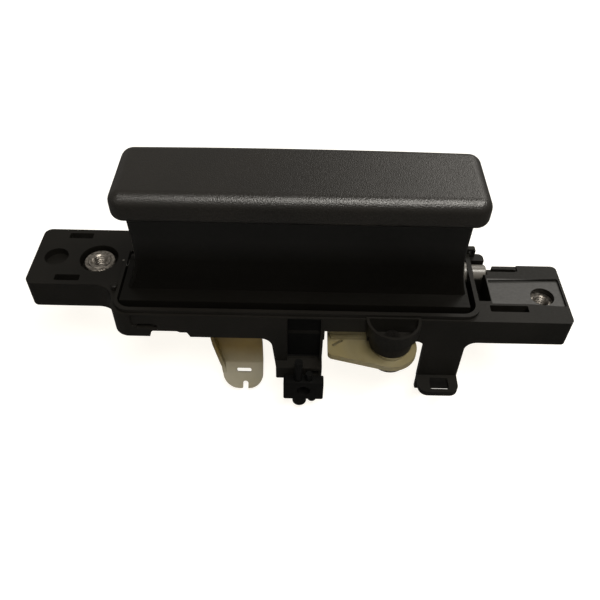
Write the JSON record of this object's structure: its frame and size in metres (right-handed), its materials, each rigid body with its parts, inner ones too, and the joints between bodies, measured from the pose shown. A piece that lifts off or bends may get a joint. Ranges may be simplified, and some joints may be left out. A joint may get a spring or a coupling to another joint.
{
  "type": "interior door handle",
  "caption": "Rocking T-grip interior door handle in a moulded housing, working a hanging cable lever and a bell crank for the latch cables.",
  "frame": {"origin": "on the left threaded insert's axis, in the plane of the door face that the ears seat on", "axes": "+X along the grip towards the right ear, +Y away from the user's lower side, +Z out of the door towards the grip"},
  "size_m": [0.1979, 0.0552, 0.0964],
  "materials": {
    "housing_nylon": "moulded",
    "grip_nylon": "moulded",
    "grained_cover": "grained",
    "natural_acetal": "moulded",
    "clip_nylon": "moulded",
    "bush_acetal": "moulded",
    "zinc_steel": "zinc plated",
    "bright_steel": "ground",
    "spring_steel": "oiled wire",
    "stop_rubber": "moulded"
  },
  "bodies": {
    "housing": {"housing": "housing_nylon", "cable_clip": "clip_nylon", "left_insert": "zinc_steel", "right_insert": "zinc_steel", "pivot_shaft": "bright_steel", "pivot_bush_left": "bush_acetal", "pivot_bush_right": "bush_acetal", "pull_stop_bumper": "stop_rubber", "push_stop_bumper": "stop_rubber", "crank_pivot_pin": "bright_steel", "crank_washer": "zinc_steel", "crank_clip": "spring_steel", "return_spring": "spring_steel", "crank_spring": "spring_steel"},
    "grip": {"grip_frame": "grip_nylon", "grip_cover": "grained_cover", "cable_lever": "natural_acetal", "lever_screws": "zinc_steel"},
    "crank": {"bell_crank": "natural_acetal"}
  },
  "joints": [
    {"name": "grip_rock", "type": "hinge", "parent": "housing", "child": "grip", "pos_m": [0.0765, -0.0008, 0.0092], "axis": [1, 0, 0], "range_deg": [-10, 10], "stiffness_Nm_per_rad": 1.6},
    {"name": "crank_swing", "type": "hinge", "parent": "housing", "child": "crank", "pos_m": [0.1095, -0.0312, -0.0024], "axis": [0, 0, 1], "range_deg": [-9.5, 9.5]}
  ],
  "couplings": [
    {"joint": "crank_swing", "follows": "grip_rock", "ratio": -0.9125}
  ]
}
